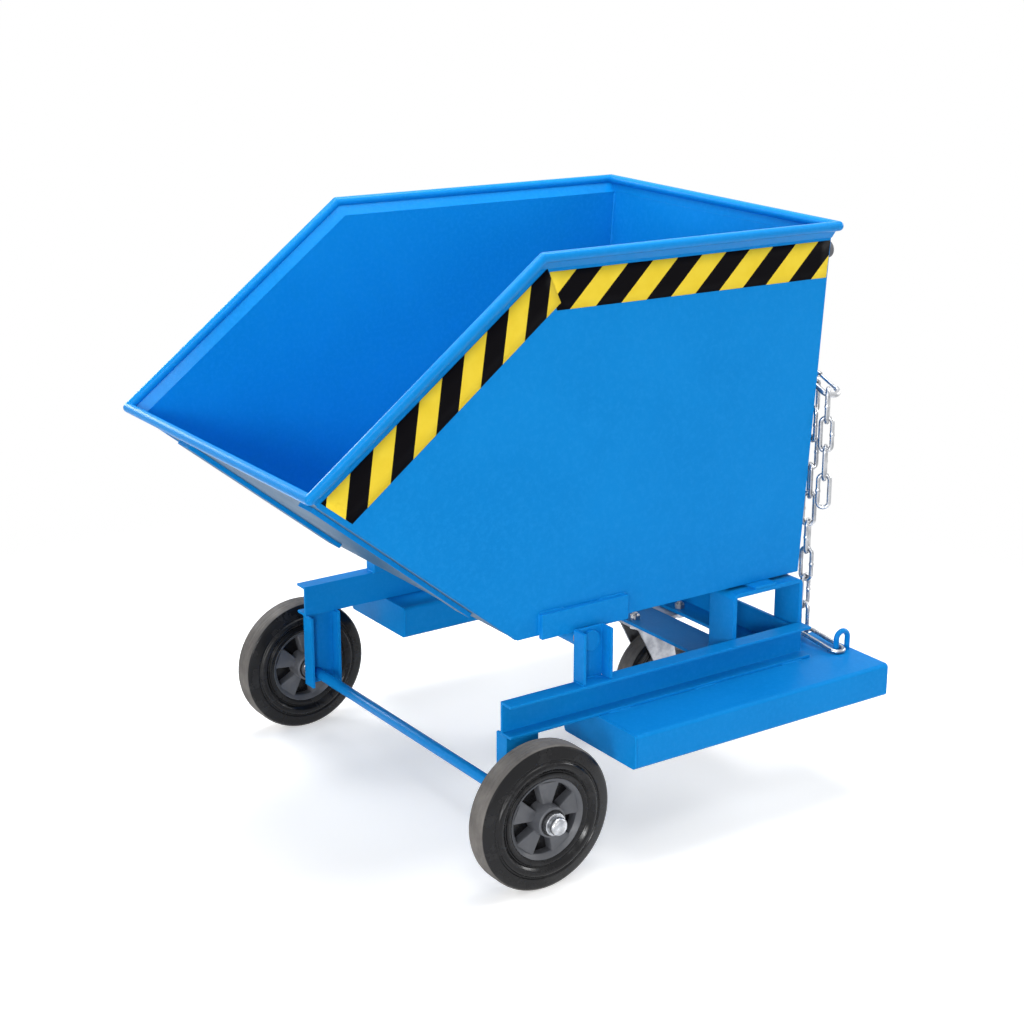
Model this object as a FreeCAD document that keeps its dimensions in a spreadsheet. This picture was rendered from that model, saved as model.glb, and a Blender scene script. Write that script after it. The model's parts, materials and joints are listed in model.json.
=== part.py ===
import FreeCAD, Part
import os
import Sketcher

# A tipping skip trolley: a sheet-steel skip that tips forward on a cross tube, carried by a frame of channel
# rails with fork pockets, two plain front wheels and one swivel caster at the rear.
# Lengths are millimetres. Sketches are drawn with x = 0 over the front axle, +X towards the pouring lip,
# +Y to the trolley's left and the floor at z = 0; axle_x then moves every piece so that the origin lies on
# the floor under the middle of the trolley.

doc = FreeCAD.newDocument("tipping_skip_trolley")
sheet = doc.addObject("Spreadsheet::Sheet", "Sizes")

driving = {
    # front wheels and axle
    "wheel_radius": 125, "wheel_offset": 73, "tyre_half_width": 28.5, "tread_half_width": 17,
    "tyre_shoulder": 30, "tyre_side_foot": 6, "rim_seat_share": 0.56, "rim_half_width": 24, "rim_ring": 4,
    "hub_radius": 28, "hub_half_length": 38, "rim_web_half": 19, "window_floor": 1.5, "window_inset": 3.5,
    "window_angle": 38, "axle_radius": 10, "bush_wall": 4, "axle_end": 2, "axle_play": 0.5,
    "spacer_radius": 14, "axle_washer_radius": 19, "axle_washer": 8, "axle_nut": 11, "axle_nut_flats": 30,
    "shoulder_round": 5,
    # frame of channel section
    "channel_width": 30, "channel_wall": 5, "rail_height": 58, "rail_gap": 21, "rail_overhang": 26,
    "rail_length": 638, "front_post_width": 62, "front_post_shift": 8, "front_post_inset": 16,
    "front_post_drop": 20, "pivot_post_width": 59, "pivot_post_inset": 5, "pivot_post_rise": 3,
    # fork pockets
    "pocket_bottom": 184, "pocket_height": 60, "pocket_width": 197, "pocket_inset": 66.5, "pocket_front": 148,
    "pocket_tail": 92, "pocket_wall": 4, "pocket_round": 7, "pocket_cap": 5,
    # cross members and rear supports
    "cross_plate": 6, "front_cross_inset": 165, "front_cross_width": 80, "rear_cross_inset": 58,
    "rear_cross_width": 53, "rear_cross_rise": 51, "support_width": 65, "support_bar": 8, "support_tail": 4,
    "support_length": 158, "support_round": 12, "pad_length": 47, "pad_start": 48, "pad_thickness": 5,
    # skip
    "skip_half_width": 303, "sheet_wall": 3, "skip_clearance": 86, "skip_toe": -22, "heel_tail": 9,
    "mouth_rise": 621, "rear_lean": 42, "bead_radius": 8.5, "bead_out": 15, "bead_rise": 22,
    "rear_bead_out": 1.5, "rim_fall_share": 0.0173, "rim_bend_x": -59, "lip_x": 356.5, "lip_rise": 308.3,
    "rib_spread_share": 0.697, "rib_width": 42, "rib_thickness": 8, "rib_start": 53, "rib_end_gap": 47,
    # tipping pivot
    "pivot_x": -151, "tube_radius": 19, "tube_wall": 6, "tube_drop": 0.3, "pin_radius": 10,
    "pin_collar_radius": 16, "pin_head_radius": 17.5, "pin_head": 6, "pivot_bush_length": 30,
    "pivot_bush_flange": 3, "pivot_end_play": 0.5, "pivot_plate_length": 175, "pivot_plate_height": 43,
    "pivot_plate_thickness": 10, "pivot_plate_drop": 5, "running_clearance": 0.05, "face_clearance": 0.3,
    # rear caster
    "caster_inset": 95, "caster_trail": 46, "caster_radius": 100, "caster_plate_length": 135,
    "caster_plate_width": 110, "caster_plate_thickness": 6, "caster_hole_x": 105, "caster_hole_y": 80,
    "caster_hole_radius": 5.5, "kingpin_radius": 6, "kingpin_head_radius": 11, "kingpin_head": 8,
    "race_height": 12, "race_radius": 34, "race_bore": 14, "crown": 6, "crown_half_length": 38,
    "fork_gap": 27, "fork_wall": 4, "fork_foot_half": 19, "fork_foot_drop": 16, "fork_foot_flat": 12,
    "caster_half_width": 25, "caster_tread_half": 16, "caster_seat_radius": 72, "caster_hub_radius": 22,
    "caster_web_half": 8, "caster_rim_ring": 12, "caster_axle_radius": 6, "caster_bush_wall": 4,
    "caster_axle_head": 7, "caster_axle_head_radius": 10, "caster_nut": 8,
    "caster_bolt_radius": 5, "caster_bolt_flats": 17, "caster_bolt_head": 6, "caster_bolt_tail": 4,
    # safety chain, eyes and snap hook
    "eye_bar": 5, "eye_half_span": 13, "eye_rise": 23, "eye_inset": 22, "eye_gap": 5, "chain_bar": 4,
    "chain_pitch": 52, "chain_half_width": 10, "chain_play": 0.3, "chain_links": 9, "tail_links": 4,
    "long_link_bar": 4, "long_link_length": 101, "long_link_half_width": 13, "wall_eye_rise": 337,
    "wall_eye_half_span": 15, "hook_bar": 5, "hook_length": 76, "hook_half_width": 16, "hook_tilt": 22,
    "hook_eye_reach": 17, "gate_bar": 3,
    # cuts run past the faces that they open
    "overrun": 20,
    # two positions nearer than this are the same
    "same_place": 0.001,
}

derived = {
    "rim_seat_radius": "wheel_radius * rim_seat_share",
    "rail_end": "rail_length - rail_overhang",
    "pocket_reach": "rail_end + pocket_tail",
    "axle_x": "(pocket_reach - lip_x - bead_radius) / 2",
    "front_cross_front": "rail_end - front_cross_inset",
    "rear_cross_front": "rail_end - rear_cross_inset",
    "support_front": "rail_end + support_tail - support_length",
    "skip_heel": "-(rail_end + heel_tail)",
    "caster_x": "caster_inset - rail_end",
    "eye_x": "eye_inset - pocket_reach",
    "rail_half_gauge": "skip_half_width + rail_gap",
    "wheel_half_track": "rail_half_gauge + wheel_offset",
    "axle_reach": "wheel_half_track + hub_half_length + axle_play + axle_washer + axle_nut + axle_end",
    "pocket_half_gap": "rail_half_gauge - pocket_inset",
    "rail_bottom": "pocket_bottom + pocket_height",
    "rail_top": "rail_bottom + rail_height",
    "rail_outer": "rail_half_gauge + channel_width",
    "front_post_foot": "wheel_radius - front_post_drop",
    "front_post_inner": "rail_half_gauge - front_post_inset",
    "front_post_outer": "front_post_inner + channel_width",
    "pivot_post_inner": "rail_half_gauge - pivot_post_inset",
    "pivot_post_height": "skip_clearance + pivot_post_rise",
    "cross_top": "rail_bottom + cross_plate",
    "floor_height": "rail_top + skip_clearance",
    "skip_inner": "skip_half_width - sheet_wall",
    "bead_height": "floor_height + mouth_rise",
    "bead_side": "skip_half_width + bead_out",
    "bead_share": "sheet_wall / 2 / bead_rise",
    "lip_height": "floor_height + lip_rise",
    "slope_angle": "atan((lip_rise - sheet_wall / 2) / (lip_x - skip_toe))",
    "mouth_angle": "atan((bead_height - lip_height) / (lip_x - rim_bend_x))",
    "fall_angle": "atan(rim_fall_share)",
    "bend_drop": "bead_rise / (1 + cos(mouth_angle + fall_angle))",
    "edge_bend_x": "rim_bend_x - bend_drop * (sin(mouth_angle) - sin(fall_angle))",
    "edge_bend_z": "bead_height - bend_drop * (cos(mouth_angle) + cos(fall_angle))",
    "nose_rise": "(lip_x - skip_toe) * sin(mouth_angle) + lip_rise * cos(mouth_angle) - bead_rise",
    "nose_length": "nose_rise / sin(mouth_angle + slope_angle)",
    "heel_top": "skip_heel - rear_lean",
    "heel_edge": "edge_bend_z - rim_fall_share * (edge_bend_x - heel_top)",
    "lean_angle": "atan(rear_lean / (heel_edge - floor_height))",
    "heel_top_inner": "heel_top + sheet_wall / cos(lean_angle)",
    "bead_rear_x": "heel_top - rear_bead_out",
    "bead_rear_z": "bead_height - rim_fall_share * (rim_bend_x - bead_rear_x)",
    "edge_rear_z": "edge_bend_z - rim_fall_share * (edge_bend_x - bead_rear_x)",
    "corner_half_width": "skip_half_width - sheet_wall / 2",
    "rib_half_spread": "skip_half_width * rib_spread_share",
    "pivot_z": "floor_height - tube_drop - tube_radius",
    "caster_top": "rail_bottom",
    "crown_top": "caster_top - caster_plate_thickness - race_height",
    "caster_axle_x": "caster_x - caster_trail",
    "rest_height": "floor_height - face_clearance",
    "eye_y": "rail_outer + eye_gap",
    "wall_eye_height": "floor_height + wall_eye_rise",
}


def fill_sheet():
    row = 0
    for name, value in list(driving.items()) + list(derived.items()):
        row += 1
        text = str(value) if name in driving else "=" + value
        sheet.set("A%d" % row, name)
        sheet.set("B%d" % row, text)
        sheet.setAlias("B%d" % row, name)
    doc.recompute()


def named(expression):
    """Put the sheet's name before each of its words, so that an expression reads them."""
    words = []
    word = ""
    for letter in expression + " ":
        if letter.isalnum() or letter in "_.":
            word += letter
            continue
        words.append("Sizes." + word if word in driving or word in derived else word)
        words.append(letter)
        word = ""
    return "".join(words).strip()


def size(expression):
    result = sheet.evalExpression(named(expression))
    return float(getattr(result, "Value", result))


fill_sheet()
pieces = []


def new_body(label, z="0", y="0", x="axle_x"):
    body = doc.addObject("PartDesign::Body", label)
    body.Label = label
    for axis, expression in (("x", x), ("y", y), ("z", z)):
        body.setExpression("Placement.Base." + axis, named(expression))
    pieces.append(body)
    return body


def new_sketch(body, role, start):
    plane = [feature for feature in body.Origin.OriginFeatures if feature.Role == role][0]
    sketch = body.newObject("Sketcher::SketchObject", body.Label + "_sketch")
    sketch.AttachmentSupport = (plane, [""])
    sketch.MapMode = "FlatFace"
    # the XZ plane faces -Y, so its offset is turned round to keep every start measured along +Y
    offset = "-(" + start + ")" if role == "XZ_Plane" else start
    sketch.setExpression("AttachmentOffset.Base.z", named(offset))
    return sketch


def bind(sketch, kind, geometry, point, expression):
    """Hold one point of the sketch at a named distance from the sketch's origin."""
    constraint = Sketcher.Constraint(kind, -1, 1, geometry, point, size(expression))
    index = sketch.addConstraint(constraint)
    sketch.setExpression("Constraints[%d]" % index, named(expression))


def outline(body, role, points, start="0"):
    """A closed outline of straight runs through points given as pairs of expressions."""
    sketch = new_sketch(body, role, start)
    corners = [FreeCAD.Vector(size(u), size(v), 0) for u, v in points]
    count = len(corners)
    for index in range(count):
        sketch.addGeometry(Part.LineSegment(corners[index], corners[(index + 1) % count]))
    for index in range(count):
        sketch.addConstraint(Sketcher.Constraint("Coincident", index, 2, (index + 1) % count, 1))
    for index, (u, v) in enumerate(points):
        bind(sketch, "DistanceX", index, 1, u)
        bind(sketch, "DistanceY", index, 1, v)
    return sketch


def circles(body, role, centres, radius, start="0"):
    sketch = new_sketch(body, role, start)
    for index, (u, v) in enumerate(centres):
        centre = FreeCAD.Vector(size(u), size(v), 0)
        sketch.addGeometry(Part.Circle(centre, FreeCAD.Vector(0, 0, 1), size(radius)))
        bind(sketch, "DistanceX", index, 3, u)
        bind(sketch, "DistanceY", index, 3, v)
        held = sketch.addConstraint(Sketcher.Constraint("Radius", index, size(radius)))
        sketch.setExpression("Constraints[%d]" % held, named(radius))
    return sketch


def pad(body, sketch, length):
    feature = body.newObject("PartDesign::Pad", body.Label + "_pad")
    feature.Profile = sketch
    feature.setExpression("Length", named(length))
    feature.Reversed = sketch.AttachmentSupport[0][0].Role == "XZ_Plane"
    doc.recompute()
    return feature


def cut_through(body, sketch, length):
    """Remove the outline over a length centred on the sketch, and see that it did remove something."""
    before = body.Shape.Volume
    feature = body.newObject("PartDesign::Pocket", body.Label + "_cut")
    feature.Profile = sketch
    feature.setExpression("Length", named(length))
    feature.Midplane = True
    doc.recompute()
    if body.Shape.Volume >= before:
        raise ValueError(body.Label + ": a cut removed nothing")
    return feature


def turn(body, points, axis="H_Axis", role="YZ_Plane"):
    """Turn a closed outline about one axis of its sketch."""
    sketch = outline(body, role, points)
    feature = body.newObject("PartDesign::Revolution", body.Label + "_turn")
    feature.Profile = sketch
    feature.ReferenceAxis = (sketch, [axis])
    doc.recompute()
    return feature


def dress(body, kind, chosen, radius):
    """Round or bevel the edges of the body's last feature that the test picks out."""
    base = body.Tip
    names = ["Edge%d" % (index + 1) for index, edge in enumerate(base.Shape.Edges) if chosen(edge)]
    feature = body.newObject("PartDesign::" + kind, body.Label + "_" + kind.lower())
    feature.Base = (base, names)
    feature.setExpression("Radius" if kind == "Fillet" else "Size", named(radius))
    doc.recompute()
    return feature


def along(edge, axis):
    """Whether an edge is straight and runs along one axis."""
    if edge.Curve.TypeId != "Part::GeomLine":
        return False
    span = edge.valueAt(edge.LastParameter) - edge.valueAt(edge.FirstParameter)
    return abs(abs(span.dot(axis)) - span.Length) < size("same_place")


X_AXIS = FreeCAD.Vector(1, 0, 0)
Y_AXIS = FreeCAD.Vector(0, 1, 0)
Z_AXIS = FreeCAD.Vector(0, 0, 1)
sides = {"left": 1, "right": -1}


def across(side, near, far):
    """Start and length of a run along Y between two distances from the middle, on one side."""
    start = near if side > 0 else "-(" + far + ")"
    return start, far + " - (" + near + ")"


def signed(side, expression):
    return expression if side > 0 else "-(" + expression + ")"


def block(label, role, points, start, length):
    body = new_body(label)
    pad(body, outline(body, role, points, start), length)
    return body


def grouped(label, bodies):
    """Identical small pieces, each its own solid, kept under one name."""
    group = doc.addObject("Part::Compound", label)
    group.Label = label
    group.Links = bodies
    for body in bodies:
        pieces.remove(body)
    pieces.append(group)
    doc.recompute()


def rectangle(u0, v0, u1, v1):
    return [(u0, v0), (u1, v0), (u1, v1), (u0, v1)]


def channel_points(side, back, toe, low, high, opens):
    """A channel section as pairs of depth and height: its web at back, its flanges reaching to toe.

    opens is "+" where the flanges reach away from the trolley's middle and "-" where they reach towards it."""
    web = signed(side, back)
    tip = signed(side, toe)
    inside = signed(side, back + " " + opens + " channel_wall")
    step_low = low + " + channel_wall"
    step_high = high + " - channel_wall"
    return [(web, low), (tip, low), (tip, step_low), (inside, step_low),
            (inside, step_high), (tip, step_high), (tip, high), (web, high)]


def swapped(points):
    return [(v, u) for u, v in points]


def add_feature(label, shape, x="axle_x"):
    feature = doc.addObject("Part::Feature", label)
    feature.Label = label
    feature.Shape = shape
    feature.Placement = FreeCAD.Placement(FreeCAD.Vector(size(x), 0, 0), FreeCAD.Rotation())
    pieces.append(feature)
    return feature


def round_bar(radius, start, end):
    return Part.makeCylinder(radius, (end - start).Length, start, end - start)


def round_bend(radius, start, tangent, centre, axis, angle):
    disc = Part.Face(Part.Wire(Part.makeCircle(radius, start, tangent)))
    return disc.revolve(centre, axis, angle)


def joined(solids):
    return solids[0].multiFuse(solids[1:]).removeSplitter()


# Frame: rails, posts, fork pockets, cross members and the supports that the skip rests on
def rails_and_posts():
    for name, side in sides.items():
        section = channel_points(side, "rail_half_gauge", "rail_outer", "rail_bottom", "rail_top", "+")
        block(name + "_rail", "YZ_Plane", section, "rail_overhang - rail_length", "rail_length")

        section = channel_points(side, "front_post_outer", "front_post_inner",
                                 "-front_post_shift - front_post_width / 2",
                                 "front_post_width / 2 - front_post_shift", "-")
        post = block(name + "_front_post", "XY_Plane", swapped(section),
                     "front_post_foot", "rail_bottom - front_post_foot")
        hole = circles(post, "XZ_Plane", [("0", "wheel_radius")], "axle_radius + running_clearance",
                       signed(side, "front_post_outer"))
        cut_through(post, hole, "channel_width")

        section = channel_points(side, "pivot_post_inner", "pivot_post_inner + channel_width",
                                 "pivot_x - pivot_post_width / 2", "pivot_x + pivot_post_width / 2", "+")
        post = block(name + "_pivot_post", "XY_Plane", swapped(section), "rail_top", "pivot_post_height")
        hole = circles(post, "XZ_Plane", [("pivot_x", "pivot_z")], "pin_radius + running_clearance",
                       signed(side, "pivot_post_inner"))
        cut_through(post, hole, "channel_width")


def fork_pockets():
    for name, side in sides.items():
        start, width = across(side, "pocket_half_gap", "pocket_half_gap + pocket_width")
        low, high = "pocket_bottom", "pocket_bottom + pocket_height"
        tube = new_body(name + "_fork_pocket")
        outer = outline(tube, "YZ_Plane", rectangle(start, low, start + " + " + width, high), "-pocket_reach")
        pad(tube, outer, "pocket_reach - pocket_front - pocket_cap")
        dress(tube, "Fillet", lambda edge: along(edge, X_AXIS), "pocket_round")
        bore = rectangle(start + " + pocket_wall", low + " + pocket_wall",
                         start + " + " + width + " - pocket_wall", high + " - pocket_wall")
        cut_through(tube, outline(tube, "YZ_Plane", bore, "-pocket_reach"), "2 * pocket_reach")
        cap = block(name + "_pocket_cap", "YZ_Plane", rectangle(start, low, start + " + " + width, high),
                    "-pocket_front - pocket_cap", "pocket_cap")
        dress(cap, "Fillet", lambda edge: along(edge, X_AXIS), "pocket_round")


def cross_members():
    front = rectangle("-front_cross_front - front_cross_width", "-rail_half_gauge",
                      "-front_cross_front", "rail_half_gauge")
    plate = block("front_cross_plate", "XY_Plane", front, "rail_bottom", "cross_plate")
    holes = [("caster_x + caster_hole_x / 2", "-caster_hole_y / 2"),
             ("caster_x + caster_hole_x / 2", "caster_hole_y / 2")]
    cut_through(plate, circles(plate, "XY_Plane", holes, "caster_hole_radius", "rail_bottom"), "2 * overrun")

    heel = "-rear_cross_front - rear_cross_width"
    web_top = "rail_bottom + rear_cross_rise"
    section = [(heel, "rail_bottom"), ("-rear_cross_front", "rail_bottom"), ("-rear_cross_front", "cross_top"),
               (heel + " + cross_plate", "cross_top"), (heel + " + cross_plate", web_top), (heel, web_top)]
    angle = block("rear_cross_angle", "XZ_Plane", section, "-rail_half_gauge", "2 * rail_half_gauge")
    holes = [("caster_x - caster_hole_x / 2", "-caster_hole_y / 2"),
             ("caster_x - caster_hole_x / 2", "caster_hole_y / 2")]
    cut_through(angle, circles(angle, "XY_Plane", holes, "caster_hole_radius", "rail_bottom"), "2 * overrun")


def rear_supports():
    front = "-support_front"
    rear = "-support_front - support_length"
    top = "floor_height - face_clearance - pad_thickness"
    for name, side in sides.items():
        start, width = across(side, "rail_half_gauge - support_width", "rail_half_gauge")
        hoop = [(front, "cross_top"), (front, top), (rear, top), (rear, "rail_bottom"),
                (rear + " + support_bar", "rail_bottom"), (rear + " + support_bar", top + " - support_bar"),
                (front + " - support_bar", top + " - support_bar"), (front + " - support_bar", "cross_top")]
        bar = block(name + "_rear_support", "XZ_Plane", hoop, start, width)
        crest = size(top)
        dress(bar, "Fillet", lambda edge: along(edge, Y_AXIS)
              and abs(edge.BoundBox.ZMax - crest) < size("same_place"), "support_round")
        pad_end = front + " - pad_start"
        shape = rectangle(pad_end + " - pad_length", top, pad_end, "rest_height")
        block(name + "_support_pad", "XZ_Plane", shape, start, width)


rails_and_posts()
fork_pockets()
cross_members()
rear_supports()


# Front axle with its wheels; each is turned about Y on its own centre
def tube_points(inner, outer, start, end):
    return rectangle(start, inner, end, outer)


def front_axle():
    axle = new_body("front_axle", "wheel_radius")
    turn(axle, tube_points("0", "axle_radius", "-axle_reach", "axle_reach"))
    groups = {"axle_spacers": [], "axle_washers": [], "axle_nuts": []}
    for name, side in sides.items():
        seat = signed(side, "wheel_half_track")
        spacer = new_body(name + "_axle_spacer", "wheel_radius")
        start, length = across(side, "front_post_outer", "wheel_half_track - hub_half_length - axle_play")
        turn(spacer, tube_points("axle_radius + running_clearance", "spacer_radius", start,
                                 start + " + " + length))
        face = "wheel_half_track + hub_half_length + axle_play"
        washer = new_body(name + "_axle_washer", "wheel_radius")
        start, length = across(side, face, face + " + axle_washer")
        turn(washer, tube_points("axle_radius + running_clearance", "axle_washer_radius", start,
                                 start + " + " + length))
        nut = new_body(name + "_axle_nut", "wheel_radius")
        start, length = across(side, face + " + axle_washer", face + " + axle_washer + axle_nut")
        pad(nut, outline(nut, "XZ_Plane", hexagon("axle_nut_flats"), start), length)
        hole = circles(nut, "XZ_Plane", [("0", "0")], "axle_radius + running_clearance", start)
        cut_through(nut, hole, "4 * axle_nut")
        for group, body in zip(groups.values(), (spacer, washer, nut)):
            group.append(body)
        front_wheel(name, seat)
    for label, bodies in groups.items():
        grouped(label, bodies)


def hexagon(flats, u="0", v="0"):
    """Corners of a hexagon of a given width across its flats, about a centre."""
    corners = []
    for step in range(6):
        reach = flats + " / 2 / cos(30)"
        corners.append((u + " + " + reach + " * cos(%d)" % (60 * step),
                        v + " + " + reach + " * sin(%d)" % (60 * step)))
    return corners


def windows(rim, inner, outer, angle, half_depth):
    """Five wedge recesses in each face of a wheel's web, between two radii, with a thin floor between them."""
    wedge = [(inner + " * cos(" + angle + " / 2)", "-" + inner + " * sin(" + angle + " / 2)"),
             ("(" + outer + ") * cos(" + angle + " / 2)", "-(" + outer + ") * sin(" + angle + " / 2)"),
             (outer, "0"),
             ("(" + outer + ") * cos(" + angle + " / 2)", "(" + outer + ") * sin(" + angle + " / 2)"),
             (inner + " * cos(" + angle + " / 2)", inner + " * sin(" + angle + " / 2)")]
    depth = "2 * (" + half_depth + " - window_floor)"
    cuts = []
    for face in sides.values():
        cuts.append(cut_through(rim, outline(rim, "XZ_Plane", wedge, signed(face, half_depth)), depth))
    pattern = rim.newObject("PartDesign::PolarPattern", rim.Label + "_windows")
    pattern.Originals = cuts
    pattern.Axis = (cuts[0].Profile[0], ["N_Axis"])
    pattern.Angle = 360
    pattern.Occurrences = 5
    rim.Tip = pattern
    doc.recompute()


def front_wheel(name, seat):
    tyre = new_body(name + "_tyre", "wheel_radius", seat)
    foot = "rim_seat_radius + tyre_side_foot"
    shoulder = "wheel_radius - tyre_shoulder"
    turn(tyre, [("-rim_half_width", "rim_seat_radius"), ("rim_half_width", "rim_seat_radius"),
                ("tyre_half_width", foot), ("tyre_half_width", shoulder), ("tread_half_width", "wheel_radius"),
                ("-tread_half_width", "wheel_radius"), ("-tyre_half_width", shoulder),
                ("-tyre_half_width", foot)])
    limit = size("rim_seat_radius + tyre_side_foot + same_place")
    dress(tyre, "Fillet", lambda edge: edge.Curve.TypeId == "Part::GeomCircle" and edge.Curve.Radius > limit,
          "shoulder_round")

    rim = new_body(name + "_rim", "wheel_radius", seat)
    bore = "axle_radius + running_clearance + bush_wall"
    ring = "rim_seat_radius - rim_ring"
    turn(rim, [("-hub_half_length", bore), ("hub_half_length", bore), ("hub_half_length", "hub_radius"),
               ("rim_web_half", "hub_radius"), ("rim_web_half", ring), ("rim_half_width", ring),
               ("rim_half_width", "rim_seat_radius"), ("-rim_half_width", "rim_seat_radius"),
               ("-rim_half_width", ring), ("-rim_web_half", ring), ("-rim_web_half", "hub_radius"),
               ("-hub_half_length", "hub_radius")])
    windows(rim, "(hub_radius + window_inset)", "(rim_seat_radius - rim_ring - window_inset)", "window_angle",
            "rim_web_half")
    bush = new_body(name + "_wheel_bush", "wheel_radius", seat)
    turn(bush, tube_points("axle_radius + running_clearance", bore, "-hub_half_length", "hub_half_length"))


front_axle()


# Tipping pivot: a tube under the skip's floor, bushed at both ends, on pins held by the posts
def tipping_pivot():
    tube = new_body("pivot_tube", "pivot_z", "0", "axle_x + pivot_x")
    turn(tube, tube_points("tube_radius - tube_wall", "tube_radius", "-skip_half_width", "skip_half_width"))
    for name, side in sides.items():
        bush = new_body(name + "_pivot_bush", "pivot_z", "0", "axle_x + pivot_x")
        bore = "pin_radius + running_clearance"
        inside = signed(side, "skip_half_width - pivot_bush_length")
        face = signed(side, "skip_half_width")
        outside = signed(side, "skip_half_width + pivot_bush_flange")
        turn(bush, [(inside, bore), (outside, bore), (outside, "tube_radius"), (face, "tube_radius"),
                    (face, "tube_radius - tube_wall"), (inside, "tube_radius - tube_wall")])
        pin = new_body(name + "_pivot_pin", "pivot_z", "0", "axle_x + pivot_x")
        collar = signed(side, "skip_half_width + pivot_bush_flange + pivot_end_play")
        web = signed(side, "pivot_post_inner")
        back = signed(side, "pivot_post_inner + channel_wall")
        end = signed(side, "pivot_post_inner + channel_wall + pin_head")
        turn(pin, [(inside, "0"), (end, "0"), (end, "pin_head_radius"), (back, "pin_head_radius"),
                   (back, "pin_radius"), (web, "pin_radius"), (web, "pin_collar_radius"),
                   (collar, "pin_collar_radius"), (collar, "pin_radius"), (inside, "pin_radius")])
        plate = rectangle("pivot_x - pivot_plate_length / 2", "floor_height - pivot_plate_drop",
                          "pivot_x + pivot_plate_length / 2",
                          "floor_height - pivot_plate_drop + pivot_plate_height")
        start, width = across(side, "skip_half_width", "skip_half_width + pivot_plate_thickness")
        arm = block(name + "_pivot_plate", "XZ_Plane", plate, start, width)
        notch = circles(arm, "XZ_Plane", [("pivot_x", "pivot_z")], "tube_radius + face_clearance", start)
        cut_through(arm, notch, "4 * pivot_plate_thickness")


tipping_pivot()


# Skip: two side sheets, one bent sheet for slope, floor and rear wall, and a rim around the mouth that flares
# outward to a round bead
def on_slope(reach, rise="0"):
    """A point on the slope's outer face at a distance up from the toe, and a height above that face."""
    return ("skip_toe + (" + reach + ") * cos(slope_angle) - (" + rise + ") * sin(slope_angle)",
            "floor_height + (" + reach + ") * sin(slope_angle) + (" + rise + ") * cos(slope_angle)")


def side_outline():
    return [("skip_toe", "floor_height"), on_slope("nose_length"), ("edge_bend_x", "edge_bend_z"),
            ("heel_top", "heel_edge"), ("skip_heel", "floor_height")]


def skip_sheets():
    for name, side in sides.items():
        start, width = across(side, "skip_inner", "skip_half_width")
        block("skip_" + name + "_side", "XZ_Plane", side_outline(), start, width)

    wrap = [on_slope("nose_length"), ("skip_toe", "floor_height"), ("skip_heel", "floor_height"),
            ("heel_top", "heel_edge"), ("heel_top_inner", "heel_edge"),
            ("skip_heel + sheet_wall * tan(45 deg - lean_angle / 2)", "floor_height + sheet_wall"),
            ("skip_toe - sheet_wall * tan(slope_angle / 2)", "floor_height + sheet_wall"),
            on_slope("nose_length", "sheet_wall")]
    block("skip_wrapper", "XZ_Plane", wrap, "-skip_inner", "2 * skip_inner")


def place(point, y):
    """A point of the XZ plane, given as a pair of expressions, at a distance along Y."""
    u, v = point
    return FreeCAD.Vector(size(u), size(y), size(v))


def flare_section(edge_inside, edge, bead):
    """Four corners of the rim's flare: two on the sheet's edge and two inside the round bead."""
    lift = FreeCAD.Vector(bead.x - edge.x, 0, bead.z - edge.z) * size("bead_share")
    return [edge_inside, edge, bead - lift, bead + lift]


def ruled_block(first, second):
    """The solid between two outlines of four corners each."""
    faces = [Part.Face(Part.makePolygon(corners + corners[:1])) for corners in (first, second)]
    for index in range(4):
        after = (index + 1) % 4
        corners = [first[index], first[after], second[after], second[index], first[index]]
        faces.append(Part.Face(Part.makePolygon(corners)))
    solid = Part.Solid(Part.Shell(faces))
    solid.fix(size("same_place"), size("same_place"), size("same_place"))
    return solid


def side_rim(side):
    """The flare and bead along one side, from the rear corner over the bend to the lip."""
    runs = [(("bead_rear_x", "edge_rear_z"), ("bead_rear_x", "bead_rear_z")),
            (("edge_bend_x", "edge_bend_z"), ("rim_bend_x", "bead_height")),
            (on_slope("nose_length"), ("lip_x", "lip_height"))]
    stations = []
    beads = []
    for edge, bead in runs:
        beads.append(place(bead, signed(side, "bead_side")))
        stations.append(flare_section(place(edge, signed(side, "skip_inner")),
                                      place(edge, signed(side, "skip_half_width")), beads[-1]))
    radius = size("bead_radius")
    solids = [ruled_block(stations[0], stations[1]), ruled_block(stations[1], stations[2])]
    solids += [round_bar(radius, beads[0], beads[1]), round_bar(radius, beads[1], beads[2])]
    solids += [Part.makeSphere(radius, bead) for bead in beads]
    return joined(solids), beads


def rear_end(side):
    """One end of the sheet between the rear wall's edge and its bead."""
    low = [place((x, "heel_edge"), signed(side, "corner_half_width"))
           for x in ("heel_top", "heel_top + sheet_wall")]
    high = [place((x, "bead_rear_z"), signed(side, "bead_side"))
            for x in ("bead_rear_x + sheet_wall / 2", "bead_rear_x - sheet_wall / 2")]
    return low + high


def lip_end(side):
    """One end of the sheet between the slope's edge and its bead."""
    low = place(on_slope("nose_length"), signed(side, "corner_half_width"))
    high = place(on_slope("nose_length", "sheet_wall"), signed(side, "corner_half_width"))
    bead = place(("lip_x", "lip_height"), signed(side, "bead_side"))
    return [low, high, bead + (high - low) / 2, bead - (high - low) / 2]


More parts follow.
